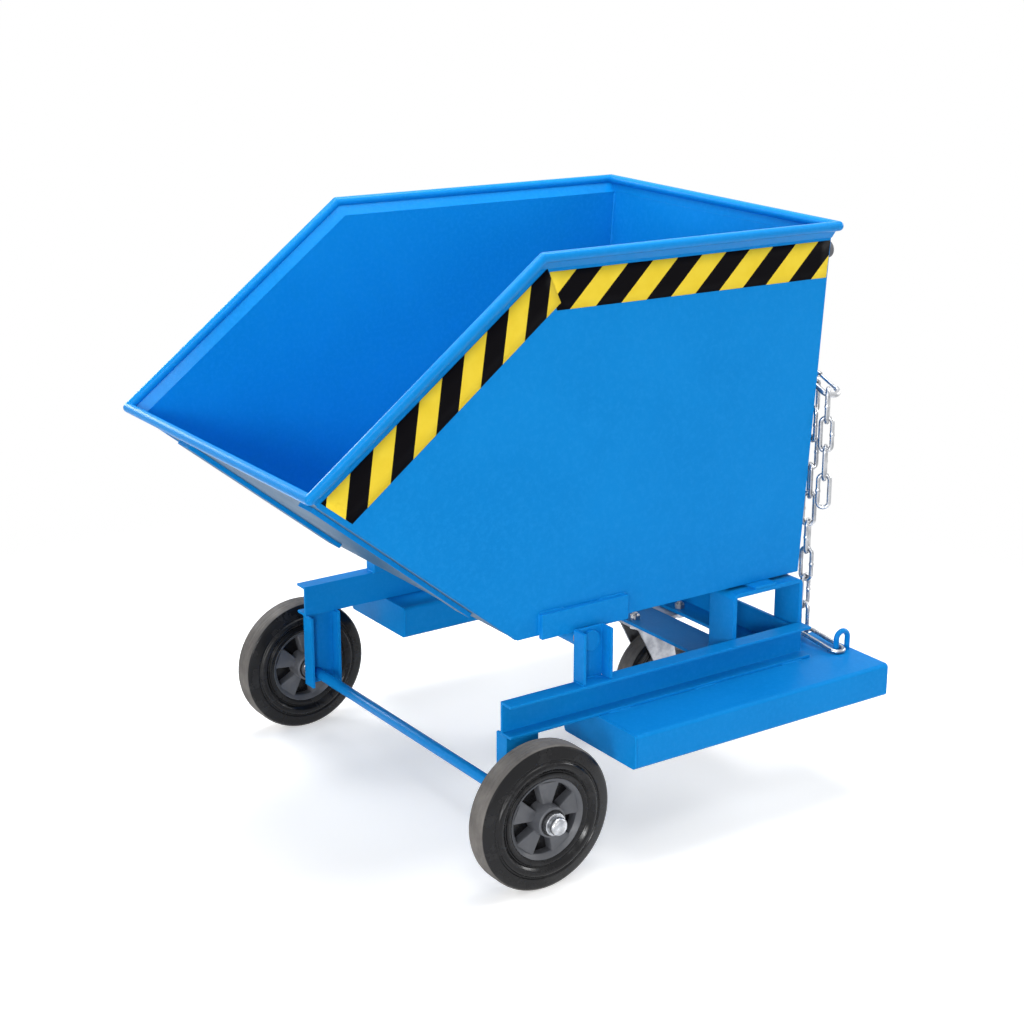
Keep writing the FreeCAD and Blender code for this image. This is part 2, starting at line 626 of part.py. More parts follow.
def skip_rim():
    rims = {}
    corners = {}
    sheets = {}
    for name, side in sides.items():
        rims[name], corners[name] = side_rim(side)
        add_feature("skip_" + name + "_rim", rims[name])
        points = [place(point, signed(side, "skip_inner")) for point in side_outline()]
        face = Part.Face(Part.makePolygon(points + points[:1]))
        sheets[name] = face.extrude(Y_AXIS * side * size("sheet_wall"))

    radius = size("bead_radius")
    for label, section, corner in (("skip_rear_rim", rear_end, 0), ("skip_lip_rim", lip_end, 2)):
        bead = round_bar(radius, corners["left"][corner], corners["right"][corner])
        rim = joined([ruled_block(section(sides["left"]), section(sides["right"])), bead])
        for name in sides:
            rim = rim.cut(sheets[name]).cut(rims[name])
        add_feature(label, rim)


def slope_ribs():
    for name, side in sides.items():
        start, width = across(side, "rib_half_spread - rib_width / 2", "rib_half_spread + rib_width / 2")
        end = "nose_length - rib_end_gap"
        bar = [on_slope("rib_start"), on_slope(end), on_slope(end, "-rib_thickness"),
               on_slope("rib_start", "-rib_thickness")]
        block(name + "_slope_rib", "XZ_Plane", bar, start, width)


skip_sheets()
skip_rim()
slope_ribs()


# Rear caster: a plate bolted under the cross members, a fork that swivels on a kingpin, and its wheel
def caster_corners():
    half_x, half_y = "caster_hole_x / 2", "caster_hole_y / 2"
    return rectangle("-" + half_x, "-" + half_y, half_x, half_y)


def caster_mount():
    here = "axle_x + caster_x"
    plate = new_body("caster_plate", "caster_top", "0", here)
    half_length, half_width = "caster_plate_length / 2", "caster_plate_width / 2"
    shape = rectangle("-" + half_length, "-" + half_width, half_length, half_width)
    pad(plate, outline(plate, "XY_Plane", shape, "-caster_plate_thickness"), "caster_plate_thickness")
    dress(plate, "Fillet", lambda edge: along(edge, Z_AXIS), "support_round")
    cut_through(plate, circles(plate, "XY_Plane", caster_corners(), "caster_hole_radius"), "2 * overrun")
    bore = circles(plate, "XY_Plane", [("0", "0")], "kingpin_radius + running_clearance")
    cut_through(plate, bore, "2 * overrun")

    pin = new_body("caster_kingpin", "caster_top", "0", here)
    under = "crown_top - crown - face_clearance - caster_top"
    turn(pin, [("0", under + " - kingpin_head"), ("kingpin_head_radius", under + " - kingpin_head"),
               ("kingpin_head_radius", under), ("kingpin_radius", under), ("kingpin_radius", "0"), ("0", "0")],
         "V_Axis", "XZ_Plane")


def caster_fasteners():
    """One bolt and one nut, each repeated at the plate's four holes as a group of separate solids."""
    group_pieces("caster_bolts", caster_bolt())
    group_pieces("caster_nuts", caster_nut())


def caster_bolt():
    flats = size("caster_bolt_flats")
    radius = size("caster_bolt_radius")
    low = size("caster_top - caster_plate_thickness")
    high = size("cross_top + caster_nut + caster_bolt_tail")
    head = hexagon_prism(flats, low - size("caster_bolt_head"), size("caster_bolt_head"))
    shank = Part.makeCylinder(radius, high - low, FreeCAD.Vector(0, 0, low))
    return head.fuse(shank).removeSplitter()


def caster_nut():
    low = size("cross_top")
    thick = size("caster_nut")
    hole = Part.makeCylinder(size("caster_bolt_radius + running_clearance"), thick, FreeCAD.Vector(0, 0, low))
    return hexagon_prism(size("caster_bolt_flats"), low, thick).cut(hole)


def hexagon_prism(flats, low, height):
    from_middle = size("%r / 2 / cos(30)" % flats)
    turnover = FreeCAD.Rotation(Z_AXIS, 60)
    corner = FreeCAD.Vector(from_middle, 0, low)
    corners = [corner]
    for step in range(6):
        corner = turnover.multVec(corner)
        corners.append(corner)
    return Part.Face(Part.makePolygon(corners)).extrude(Z_AXIS * height)


def group_pieces(label, solid):
    copies = []
    for u, v in caster_corners():
        copy = solid.copy()
        copy.translate(FreeCAD.Vector(size(u), size(v), 0))
        copies.append(copy)
    add_feature(label, Part.makeCompound(copies), "axle_x + caster_x")


def caster_swivel():
    here = "axle_x + caster_x"
    race = new_body("caster_race", "crown_top", "0", here)
    top = "race_height - face_clearance"
    turn(race, [("race_bore", "0"), ("race_radius", "0"), ("race_radius", top), ("race_bore", top)],
         "V_Axis", "XZ_Plane")

    fork = new_body("caster_fork", "0", "0", here)
    half = "fork_gap + fork_wall"
    crown = rectangle("-crown_half_length", "-(" + half + ")", "crown_half_length", half)
    pad(fork, outline(fork, "XY_Plane", crown, "crown_top - crown"), "crown")
    foot = "-caster_trail"
    leg = [("-crown_half_length", "crown_top"), ("crown_half_length", "crown_top"),
           (foot + " + fork_foot_half", "caster_radius"),
           (foot + " + fork_foot_flat", "caster_radius - fork_foot_drop"),
           (foot + " - fork_foot_flat", "caster_radius - fork_foot_drop"),
           (foot + " - fork_foot_half", "caster_radius")]
    for side in sides.values():
        start, width = across(side, "fork_gap", half)
        pad(fork, outline(fork, "XZ_Plane", leg, start), width)
    bore = circles(fork, "XY_Plane", [("0", "0")], "kingpin_radius + running_clearance", "crown_top")
    cut_through(fork, bore, "4 * crown")
    bore = circles(fork, "XZ_Plane", [(foot, "caster_radius")], "caster_axle_radius + running_clearance")
    cut_through(fork, bore, "4 * (" + half + ")")

    axle = new_body("caster_axle", "caster_radius", "0", "axle_x + caster_axle_x")
    end = "fork_gap + fork_wall + caster_axle_head"
    turn(axle, [("-(" + half + " + caster_nut + caster_bolt_tail)", "0"), (end, "0"),
                (end, "caster_axle_head_radius"), (half, "caster_axle_head_radius"),
                (half, "caster_axle_radius"), ("-(" + half + " + caster_nut + caster_bolt_tail)",
                                               "caster_axle_radius")])
    nut = new_body("caster_axle_nut", "caster_radius", "0", "axle_x + caster_axle_x")
    start = "-(" + half + " + caster_nut)"
    pad(nut, outline(nut, "XZ_Plane", hexagon("caster_bolt_flats"), start), "caster_nut")
    bore = circles(nut, "XZ_Plane", [("0", "0")], "caster_axle_radius + running_clearance", start)
    cut_through(nut, bore, "4 * caster_nut")


def caster_wheel():
    here = "axle_x + caster_axle_x"
    seat = "caster_seat_radius"
    tyre = new_body("caster_tyre", "caster_radius", "0", here)
    shoulder = "caster_radius - caster_half_width + caster_tread_half"
    turn(tyre, [("-caster_half_width", seat), ("caster_half_width", seat), ("caster_half_width", shoulder),
                ("caster_tread_half", "caster_radius"), ("-caster_tread_half", "caster_radius"),
                ("-caster_half_width", shoulder)])
    limit = size(seat + " + same_place")
    dress(tyre, "Fillet", lambda edge: edge.Curve.TypeId == "Part::GeomCircle" and edge.Curve.Radius > limit,
          "shoulder_round / 2")
    rim = new_body("caster_rim", "caster_radius", "0", here)
    bore = "caster_axle_radius + running_clearance + caster_bush_wall"
    hub = "fork_gap - axle_play"
    ring = "caster_seat_radius - caster_rim_ring"
    turn(rim, [("-(" + hub + ")", bore), (hub, bore), (hub, "caster_hub_radius"),
               ("caster_web_half", "caster_hub_radius"), ("caster_web_half", ring), ("caster_half_width", ring),
               ("caster_half_width", seat), ("-caster_half_width", seat), ("-caster_half_width", ring),
               ("-caster_web_half", ring), ("-caster_web_half", "caster_hub_radius"),
               ("-(" + hub + ")", "caster_hub_radius")])
    bush = new_body("caster_bush", "caster_radius", "0", here)
    turn(bush, tube_points("caster_axle_radius + running_clearance", bore, "-(" + hub + ")", hub))


caster_mount()
caster_fasteners()
caster_swivel()
caster_wheel()


# Safety chain: round-bar links from an eye on the left fork pocket up to a snap hook on the skip's rear wall
def ring_ends(radius, centre, lengthwise, sideways, half_straight, half_width):
    """The two half-round ends of a long ring."""
    ends = []
    for turn_way in (1, -1):
        middle = centre + lengthwise * (half_straight * turn_way)
        start = middle + sideways * half_width
        axis = sideways.cross(lengthwise * turn_way)
        ends.append(round_bend(radius, start, lengthwise, middle, axis, 180))
    return ends


def ring_side(radius, centre, lengthwise, sideways, half_straight, half_width):
    middle = centre + sideways * half_width
    return round_bar(radius, middle - lengthwise * half_straight, middle + lengthwise * half_straight)


def long_ring(radius, centre, lengthwise, sideways, half_straight, half_width):
    solids = ring_ends(radius, centre, lengthwise, sideways, half_straight, half_width)
    for reach in (half_width, -half_width):
        solids.append(ring_side(radius, centre, lengthwise, sideways, half_straight, reach))
    return joined(solids)


def staple(radius, foot, rise, sideways, straight, half_span):
    """A bar bent to an eye: two legs from a surface and a half-round top."""
    solids = []
    for reach in (half_span, -half_span):
        base = foot + sideways * reach
        solids.append(round_bar(radius, base, base + rise * straight))
    top = foot + rise * straight
    solids.append(round_bend(radius, top + sideways * half_span, rise, top, sideways.cross(rise), 180))
    return joined(solids)


def hanging_links(top, count, first_side, turn_step):
    """Links that hang below one another from the top link's upper bar, each turned on from the one above."""
    bar = size("chain_bar")
    half_width = size("chain_half_width")
    reach = size("chain_pitch / 2 + chain_bar")
    step = size("chain_pitch - chain_play")
    links = []
    for index in range(count):
        centre = top - Z_AXIS * (reach + step * index)
        sideways = FreeCAD.Rotation(Z_AXIS, turn_step * index).multVec(first_side)
        links.append(long_ring(bar, centre, Z_AXIS, sideways, reach - half_width, half_width))
    return Part.makeCompound(links)


def safety_chain():
    count = int(size("chain_links"))
    tilt = FreeCAD.Rotation(X_AXIS, -size("hook_tilt"))
    lengthwise = tilt.multVec(Y_AXIS)
    hook_bar = size("hook_bar")
    half_width = size("hook_half_width")
    half_straight = size("hook_length / 2 - hook_half_width")
    play = size("face_clearance")
    slant = size("1 / cos(hook_tilt * 1 deg)")

    # the hook's bar lies on the lower leg of the wall eye, and the chain's top link hangs on that bar
    chain_x = size("eye_x + eye_half_span")
    eye_bar_z = size("wall_eye_height - wall_eye_half_span") + size("eye_bar + hook_bar") * slant + play
    hook_z = eye_bar_z + lengthwise.z * size("hook_eye_reach")
    link_top = hook_z + size("hook_bar + chain_bar") * slant + play
    drop = size("2 * (chain_pitch / 2 + chain_bar) + (chain_links - 1) * (chain_pitch - chain_play)")
    long_end_z = link_top - drop + size("chain_bar + long_link_bar") + play

    # the long link leans up from the pocket so that the lowest link passes under its raised end
    span = size("long_link_length")
    rest_z = size("rail_bottom + long_link_bar") + play
    lean_rise = long_end_z - rest_z
    lean_run = (span * span - lean_rise * lean_rise) ** 0.5
    leaning = FreeCAD.Vector(0, -lean_run / span, lean_rise / span)
    far_end = FreeCAD.Vector(chain_x, size("eye_y + long_link_half_width"), rest_z)
    link_centre = far_end + leaning * (span / 2)
    chain_y = (far_end + leaning * span).y
    half_width_long = size("long_link_half_width")
    long_link = long_ring(size("long_link_bar"), link_centre, leaning, X_AXIS, span / 2 - half_width_long,
                          half_width_long)
    add_feature("chain_long_link", long_link)
    foot = FreeCAD.Vector(size("eye_x"), size("eye_y"), size("rail_bottom"))
    add_feature("pocket_eye", staple(size("eye_bar"), foot, Z_AXIS, X_AXIS, size("eye_rise"),
                                     size("eye_half_span")))
    # the strand twists a little on its way, because its first and last links both stand across their bars
    strand_top = FreeCAD.Vector(chain_x, chain_y, link_top)
    add_feature("chain_strand", hanging_links(strand_top, count, X_AXIS, 90 - 90 / (count - 1)))

    # snap hook: a long ring, open along its outer side, where the gate closes it
    outward = FreeCAD.Vector(-1, 0, 0)
    middle = FreeCAD.Vector(chain_x - half_width, chain_y, hook_z)
    frame = ring_ends(hook_bar, middle, lengthwise, outward, half_straight, half_width)
    frame.append(ring_side(hook_bar, middle, lengthwise, outward, half_straight, -half_width))
    add_feature("snap_hook", joined(frame))
    gate_bar = size("gate_bar")
    hinge = middle + outward * half_width - lengthwise * (half_straight - gate_bar - play)
    tip = middle + outward * half_width + lengthwise * (half_straight - play)
    gate = joined([round_bar(gate_bar, hinge, tip), Part.makeSphere(gate_bar, hinge)])
    add_feature("snap_hook_gate", gate)

    # the spare end of the chain hangs from the hook's lower end
    diagonal = (lengthwise - outward).normalize()
    tail_bar = middle + lengthwise * half_straight + diagonal * half_width
    tail_top = tail_bar + Z_AXIS * (size("hook_bar + chain_bar") * slant + play)
    tail_side = FreeCAD.Vector(diagonal.x, diagonal.y, 0).normalize()
    add_feature("chain_tail", hanging_links(tail_top, int(size("tail_links")), tail_side, 90))

    # wall eye: welded to the rear wall, its foot on the wall's outer face
    eye_place = middle - outward * half_width - lengthwise * size("hook_eye_reach")
    wall_x = size("skip_heel - (wall_eye_height - floor_height) * tan(lean_angle)")
    eye_foot = FreeCAD.Vector(wall_x, eye_place.y, size("wall_eye_height"))
    straight = wall_x - chain_x
    eye = staple(size("eye_bar"), eye_foot - outward * size("eye_bar"), outward, Z_AXIS,
                 straight + size("eye_bar"), size("wall_eye_half_span"))
    add_feature("wall_eye", eye.cut(wall_side()))


def wall_side():
    """The space in front of the rear wall's outer face, which trims the wall eye's feet to the leaning wall."""
    reach = size("overrun")
    low = FreeCAD.Vector(size("skip_heel"), 0, size("floor_height"))
    high = FreeCAD.Vector(size("heel_top"), 0, size("heel_edge"))
    corners = [low, high, high + X_AXIS * reach, low + X_AXIS * reach, low]
    face = Part.Face(Part.makePolygon(corners))
    face.translate(Y_AXIS * -size("skip_half_width"))
    return face.extrude(Y_AXIS * size("2 * skip_half_width"))


safety_chain()


def finish():
    doc.recompute()
    for item in doc.Objects:
        if "Invalid" in item.State or "Error" in item.State:
            raise ValueError(item.Label + " did not build")
    for piece in pieces:
        if piece.Shape.isNull() or not piece.Shape.isValid():
            raise ValueError(piece.Label + " has no valid shape")
    os.makedirs("parts", exist_ok=True)
    for piece in pieces:
        piece.Shape.exportStep("parts/" + piece.Label + ".step")
    print(len(pieces), "pieces written")


finish()
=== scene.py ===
import json
import bpy
import numpy as np
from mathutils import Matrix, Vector


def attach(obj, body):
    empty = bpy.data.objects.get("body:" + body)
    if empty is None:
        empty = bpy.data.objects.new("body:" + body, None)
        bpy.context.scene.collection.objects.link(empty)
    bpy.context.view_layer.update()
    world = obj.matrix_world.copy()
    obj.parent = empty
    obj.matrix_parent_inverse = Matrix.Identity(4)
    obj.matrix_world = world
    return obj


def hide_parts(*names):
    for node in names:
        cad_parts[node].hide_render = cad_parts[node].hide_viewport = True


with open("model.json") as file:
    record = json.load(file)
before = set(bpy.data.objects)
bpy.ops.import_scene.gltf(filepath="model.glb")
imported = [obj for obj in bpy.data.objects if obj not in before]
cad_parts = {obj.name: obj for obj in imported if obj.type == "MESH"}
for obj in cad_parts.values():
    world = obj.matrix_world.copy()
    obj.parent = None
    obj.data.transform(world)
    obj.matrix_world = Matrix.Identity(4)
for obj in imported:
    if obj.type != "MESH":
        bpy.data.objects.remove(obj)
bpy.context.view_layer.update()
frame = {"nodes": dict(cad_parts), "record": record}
nodes = frame["nodes"]
print("frame loaded,", len(nodes), "nodes")

# what the photograph shows: viewing point, direction and lens
cameraView = {"place": (1.90160, 2.86306, 1.59938), "look": (-0.536, -0.7872, -0.3049), "lens": 72.65,
              "sensor": 36}
# soft studio: far lamps beside the viewer, high and ahead, one overhead, and fills from the rear and the right
lampSet = {
    "front": {"place": (6.0, 7.0, 2.6), "wide": 1.8, "watts": 345},
    "high": {"place": (3.0, 5.0, 7.0), "wide": 2.0, "watts": 80},
    "ahead": {"place": (7.0, 2.5, 1.2), "wide": 2.4, "watts": 140},
    "overhead": {"place": (-0.2, -0.2, 3.2), "wide": 2.6, "watts": 104},
    "rear": {"place": (-4.5, 1.0, 2.0), "wide": 2.0, "watts": 110},
    "right": {"place": (1.0, -4.5, 2.0), "wide": 2.0, "watts": 110},
}
stageLook = {"floor": 0.9, "world": (1.0, 1.0, 1.0), "worldLight": 0.2, "reach": 6.0, "fadeFrom": 0.75,
             "fadeTo": 1.7, "lift": 0.40, "floorRough": 0.9, "floorShine": 0.1, "lampAim": (0, 0, 0.5)}


def aimed(place, target):
    return (Vector(target) - Vector(place)).to_track_quat("-Z", "Y").to_euler()


def makeCamera():
    data = bpy.data.cameras.new("photoCamera")
    data.sensor_width = cameraView["sensor"]
    data.lens = cameraView["lens"]
    camera = bpy.data.objects.new("photoCamera", data)
    camera.location = cameraView["place"]
    camera.rotation_euler = Vector(cameraView["look"]).to_track_quat("-Z", "Y").to_euler()
    bpy.context.scene.collection.objects.link(camera)
    bpy.context.scene.camera = camera


def makeLamps():
    for name, lamp in lampSet.items():
        data = bpy.data.lights.new(name, "AREA")
        data.shape = "DISK"
        data.size = lamp["wide"]
        data.energy = lamp["watts"]
        item = bpy.data.objects.new(name, data)
        item.location = lamp["place"]
        item.rotation_euler = aimed(lamp["place"], stageLook["lampAim"])
        bpy.context.scene.collection.objects.link(item)


# short hands for shader trees
def math(tree, operation, first, second=0.0):
    item = tree.nodes.new("ShaderNodeMath")
    item.operation = operation
    for place, value in ((0, first), (1, second)):
        if hasattr(value, "is_linked"):
            tree.links.new(value, item.inputs[place])
        else:
            item.inputs[place].default_value = value
    return item.outputs[0]


# a value carried from one range to another, smoothly
def remap(tree, value, fromLow, fromHigh, toLow, toHigh):
    item = tree.nodes.new("ShaderNodeMapRange")
    item.interpolation_type = "SMOOTHSTEP"
    tree.links.new(value, item.inputs["Value"])
    for place, number in zip(("From Min", "From Max", "To Min", "To Max"), (fromLow, fromHigh, toLow, toHigh)):
        item.inputs[place].default_value = number
    return item.outputs["Result"]


def mixColour(tree, share, first, second):
    item = tree.nodes.new("ShaderNodeMix")
    item.data_type = "RGBA"
    for place, value in ((0, share), (6, first), (7, second)):
        if hasattr(value, "is_linked"):
            tree.links.new(value, item.inputs[place])
        elif place:
            item.inputs[place].default_value = (*value, 1)
        else:
            item.inputs[place].default_value = value
    return item.outputs[2]


def noise(tree, coords, scale, detail=2.0, roughness=0.5):
    item = tree.nodes.new("ShaderNodeTexNoise")
    item.inputs["Scale"].default_value = scale
    item.inputs["Detail"].default_value = detail
    item.inputs["Roughness"].default_value = roughness
    tree.links.new(coords, item.inputs["Vector"])
    return item.outputs["Fac"]


def bump(tree, shader, height, distance, strength):
    item = tree.nodes.new("ShaderNodeBump")
    item.inputs["Distance"].default_value = distance
    item.inputs["Strength"].default_value = strength
    tree.links.new(height, item.inputs["Height"])
    tree.links.new(item.outputs["Normal"], shader.inputs["Normal"])


def freshMaterial(name):
    material = bpy.data.materials.new(name)
    material.use_nodes = True
    tree = material.node_tree
    coords = tree.nodes.new("ShaderNodeTexCoord")
    return material, tree, tree.nodes["Principled BSDF"], coords


# white to the camera and in reflections, plain light to everything else
def whiteRays(tree):
    path = tree.nodes.new("ShaderNodeLightPath")
    both = math(tree, "MAXIMUM", path.outputs["Is Camera Ray"], path.outputs["Is Glossy Ray"])
    return math(tree, "MAXIMUM", both, path.outputs["Is Transmission Ray"])


def makeStage():
    world = bpy.data.worlds.new("studio")
    bpy.context.scene.world = world
    world.use_nodes = True
    tree = world.node_tree
    plain = tree.nodes["Background"]
    plain.inputs["Color"].default_value = (*stageLook["world"], 1)
    plain.inputs["Strength"].default_value = stageLook["worldLight"]
    white = tree.nodes.new("ShaderNodeBackground")
    white.inputs["Color"].default_value = (1, 1, 1, 1)
    mix = tree.nodes.new("ShaderNodeMixShader")
    tree.links.new(whiteRays(tree), mix.inputs[0])
    tree.links.new(plain.outputs[0], mix.inputs[1])
    tree.links.new(white.outputs[0], mix.inputs[2])
    tree.links.new(mix.outputs[0], tree.nodes["World Output"].inputs["Surface"])

    reach = stageLook["reach"]
    mesh = bpy.data.meshes.new("floor")
    mesh.from_pydata([(-reach, -reach, 0), (reach, -reach, 0), (reach, reach, 0), (-reach, reach, 0)], [],
                     [(0, 1, 2, 3)])
    floor = bpy.data.objects.new("floor", mesh)
    bpy.context.scene.collection.objects.link(floor)
    # pale floor near the trolley, lifted a little for the camera, that fades to the white beyond
    paint, tree, shader, coords = freshMaterial("floorPale")
    shader.inputs["Base Color"].default_value = (stageLook["floor"],) * 3 + (1,)
    shader.inputs["Roughness"].default_value = stageLook["floorRough"]
    shader.inputs["Specular IOR Level"].default_value = stageLook["floorShine"]
    shader.inputs["Emission Color"].default_value = (1, 1, 1, 1)
    tree.links.new(math(tree, "MULTIPLY", whiteRays(tree), stageLook["lift"]), shader.inputs["Emission Strength"])
    spread = tree.nodes.new("ShaderNodeVectorMath")
    spread.operation = "LENGTH"
    tree.links.new(coords.outputs["Object"], spread.inputs[0])
    fade = remap(tree, spread.outputs["Value"], stageLook["fadeFrom"], stageLook["fadeTo"], 0, 1)
    clear = tree.nodes.new("ShaderNodeBsdfTransparent")
    mix = tree.nodes.new("ShaderNodeMixShader")
    tree.links.new(math(tree, "MULTIPLY", fade, whiteRays(tree)), mix.inputs[0])
    tree.links.new(shader.outputs[0], mix.inputs[1])
    tree.links.new(clear.outputs[0], mix.inputs[2])
    tree.links.new(mix.outputs[0], tree.nodes["Material Output"].inputs["Surface"])
    mesh.materials.append(paint)


makeCamera()
makeLamps()
makeStage()
bpy.context.scene.view_settings.view_transform = "Standard"
print("camera, lamps and floor placed")

# the part of a cloudy noise's range that a whole change of tone is spread over
cloudSpan = (0.3, 0.7)
# enamel over sheet steel: even sky blue, faint mottling and orange peel; sheets and bars are satin, with painted
# shade that darkens what faces down to a grey blue, and the round beads and rods are glossier and carry no painted
# shade
# the grey blue near the end of this table is painted shade that downward faces darken to, and their shine is
# lowered there
paintLook = {"blue": (0.003, 0.222, 0.610), "deep": (0.002, 0.205, 0.575), "pale": (0.010, 0.250, 0.650),
             "cloud": 5.0, "mottle": 130.0, "peel": 420.0, "peelDepth": 0.00020, "peelShare": 0.35,
             "mottleSpan": (0.4, 0.75), "mottleShare": 0.6, "underShadeColour": (0.060, 0.140, 0.240),
             "downward": (-0.76, -0.64), "underShadeShine": 0.01}
# the last number of each paint is how much painted shade its downward faces get: full on sheets and bars, none on
# beads
sheetPaint = {"name": "skyEnamel", "rough": (0.34, 0.42), "shine": 0.05, "dustAndShade": 1.0}
beadPaint = {"name": "skyEnamelBead", "rough": (0.20, 0.26), "shine": 0.12, "dustAndShade": 0.0}


def enamelPaint(kind):
    material, tree, shader, coords = freshMaterial(kind["name"])
    place = coords.outputs["Object"]
    cloud = noise(tree, place, paintLook["cloud"], 3)
    mottle = noise(tree, place, paintLook["mottle"], 4, 0.7)
    colour = mixColour(tree, remap(tree, cloud, *cloudSpan, 0, 1), paintLook["deep"], paintLook["blue"])
    flecks = remap(tree, mottle, *paintLook["mottleSpan"], 0, paintLook["mottleShare"])
    colour = mixColour(tree, flecks, colour, paintLook["pale"])
    facing = tree.nodes.new("ShaderNodeSeparateXYZ")
    tree.links.new(coords.outputs["Normal"], facing.inputs[0])
    # painted shade: faces turned downward darken to the grey blue and lose most of their shine
    underShadeShare = remap(tree, facing.outputs["Z"], *paintLook["downward"], kind["dustAndShade"], 0)
    tree.links.new(mixColour(tree, underShadeShare, colour, paintLook["underShadeColour"]), shader.inputs["Base Color"])
    tree.links.new(remap(tree, cloud, *cloudSpan, *kind["rough"]), shader.inputs["Roughness"])
    bump(tree, shader, noise(tree, place, paintLook["peel"], 2, 0.4), paintLook["peelDepth"],
         paintLook["peelShare"])
    tree.links.new(remap(tree, underShadeShare, 0, 1, kind["shine"], paintLook["underShadeShine"]),
                   shader.inputs["Specular IOR Level"])
    return material


# how strongly a fine grain shows on metal, plastic and rubber
grainShare = 0.5
metalSpan = (0.32, 0.68)
# zinc plate: bright, with cloudy duller passages
zincLook = {"bright": (0.60, 0.61, 0.63), "dull": (0.33, 0.34, 0.36), "cloud": 55.0, "grain": 900.0,
            "rough": (0.22, 0.42), "grainDepth": 0.00008}
# pressed steel of the caster: duller zinc with small spangle
galvLook = {"bright": (0.50, 0.51, 0.54), "dull": (0.27, 0.28, 0.31), "cloud": 28.0, "grain": 260.0,
            "rough": (0.34, 0.55), "grainDepth": 0.00015}
# turned bearing steel and sintered bronze
steelLook = {"bright": (0.46, 0.46, 0.47), "dull": (0.28, 0.28, 0.29), "cloud": 60.0, "grain": 700.0,
             "rough": (0.25, 0.4), "grainDepth": 0.00006}
bronzeLook = {"bright": (0.50, 0.34, 0.16), "dull": (0.32, 0.2, 0.09), "cloud": 80.0, "grain": 1200.0,
              "rough": (0.35, 0.55), "grainDepth": 0.0001}


def platedMetal(name, look):
    material, tree, shader, coords = freshMaterial(name)
    place = coords.outputs["Object"]
    cloud = noise(tree, place, look["cloud"], 4, 0.6)
    grain = noise(tree, place, look["grain"], 2)
    share = remap(tree, cloud, *metalSpan, 0, 1)
    tree.links.new(mixColour(tree, share, look["dull"], look["bright"]), shader.inputs["Base Color"])
    tree.links.new(remap(tree, cloud, *cloudSpan, look["rough"][1], look["rough"][0]), shader.inputs["Roughness"])
    shader.inputs["Metallic"].default_value = 1.0
    bump(tree, shader, grain, look["grainDepth"], grainShare)
    return material


# moulded rim plastic: mid grey, fine satin grain, a little dust
plasticLook = {"grey": (0.074, 0.078, 0.089), "dustAndShade": (0.108, 0.111, 0.121), "cloud": 38.0, "grain": 1500.0,
               "rough": (0.42, 0.58), "grainDepth": 0.00008, "dustSpan": (0.4, 0.75)}


def mouldedPlastic():
    material, tree, shader, coords = freshMaterial("rimGrey")
    place = coords.outputs["Object"]
    cloud = noise(tree, place, plasticLook["cloud"], 4, 0.6)
    share = remap(tree, cloud, *plasticLook["dustSpan"], 0, 1)
    tree.links.new(mixColour(tree, share, plasticLook["grey"], plasticLook["dustAndShade"]), shader.inputs["Base Color"])
    tree.links.new(remap(tree, cloud, *cloudSpan, *plasticLook["rough"]), shader.inputs["Roughness"])
    bump(tree, shader, noise(tree, place, plasticLook["grain"], 2), plasticLook["grainDepth"], grainShare)
    return material


# solid rubber: black walls with glossy ridges, tread dusted grey-brown; the second UV is the share of the radius
rubberLook = {"black": (0.007, 0.007, 0.008), "worn": (0.020, 0.020, 0.021), "dust": (0.20, 0.188, 0.176),
              "treadEdge": (0.972, 0.984), "cloud": 26.0, "streak": 9.0, "grain": 1100.0, "shine": 0.22,
              "grainDepth": 0.00012, "wallRough": (0.2, 0.36), "treadRough": 0.85, "streakSpan": (0.35, 0.65),
              "streakTone": (0.6, 1), "wornSpan": (0.5, 0.75), "dustTone": (0.7, 1), "roughSpan": (0.4, 0.7)}


def dustyRubber():
    material, tree, shader, coords = freshMaterial("blackRubber")
    place = coords.outputs["Object"]
    split = tree.nodes.new("ShaderNodeSeparateXYZ")
    tree.links.new(coords.outputs["UV"], split.inputs[0])
    onTread = remap(tree, split.outputs["Y"], *rubberLook["treadEdge"], 0, 1)
    cloud = noise(tree, place, rubberLook["cloud"], 5, 0.65)
    streak = noise(tree, place, rubberLook["streak"], 3)
    patch = remap(tree, streak, *rubberLook["streakSpan"], *rubberLook["streakTone"])
    worn = remap(tree, cloud, *rubberLook["wornSpan"], 0, 1)
    wall = mixColour(tree, worn, rubberLook["black"], rubberLook["worn"])
    dustAndShade = remap(tree, cloud, *cloudSpan, *rubberLook["dustTone"])
    dusted = math(tree, "MULTIPLY", onTread, math(tree, "MULTIPLY", patch, dustAndShade))
    tree.links.new(mixColour(tree, dusted, wall, rubberLook["dust"]), shader.inputs["Base Color"])
    dull = remap(tree, cloud, *rubberLook["roughSpan"], *rubberLook["wallRough"])
    dry = math(tree, "MULTIPLY", onTread, rubberLook["treadRough"])
    tree.links.new(math(tree, "MAXIMUM", dull, dry), shader.inputs["Roughness"])
    bump(tree, shader, noise(tree, place, rubberLook["grain"], 3), rubberLook["grainDepth"], grainShare)
    shader.inputs["Specular IOR Level"].default_value = rubberLook["shine"]
    return material


# printed hazard tape: 45 degree bands in metre UVs
tapeLook = {"yellow": (0.80, 0.585, 0.038), "pale": (0.84, 0.63, 0.05), "black": (0.0030, 0.0026, 0.0036),
            "band": 0.0509, "rough": (0.42, 0.55), "shine": 0.03, "cloud": 30.0, "wrinkle": 240.0,
            "wrinkleDepth": 0.00015, "wrinkleShare": 0.3}


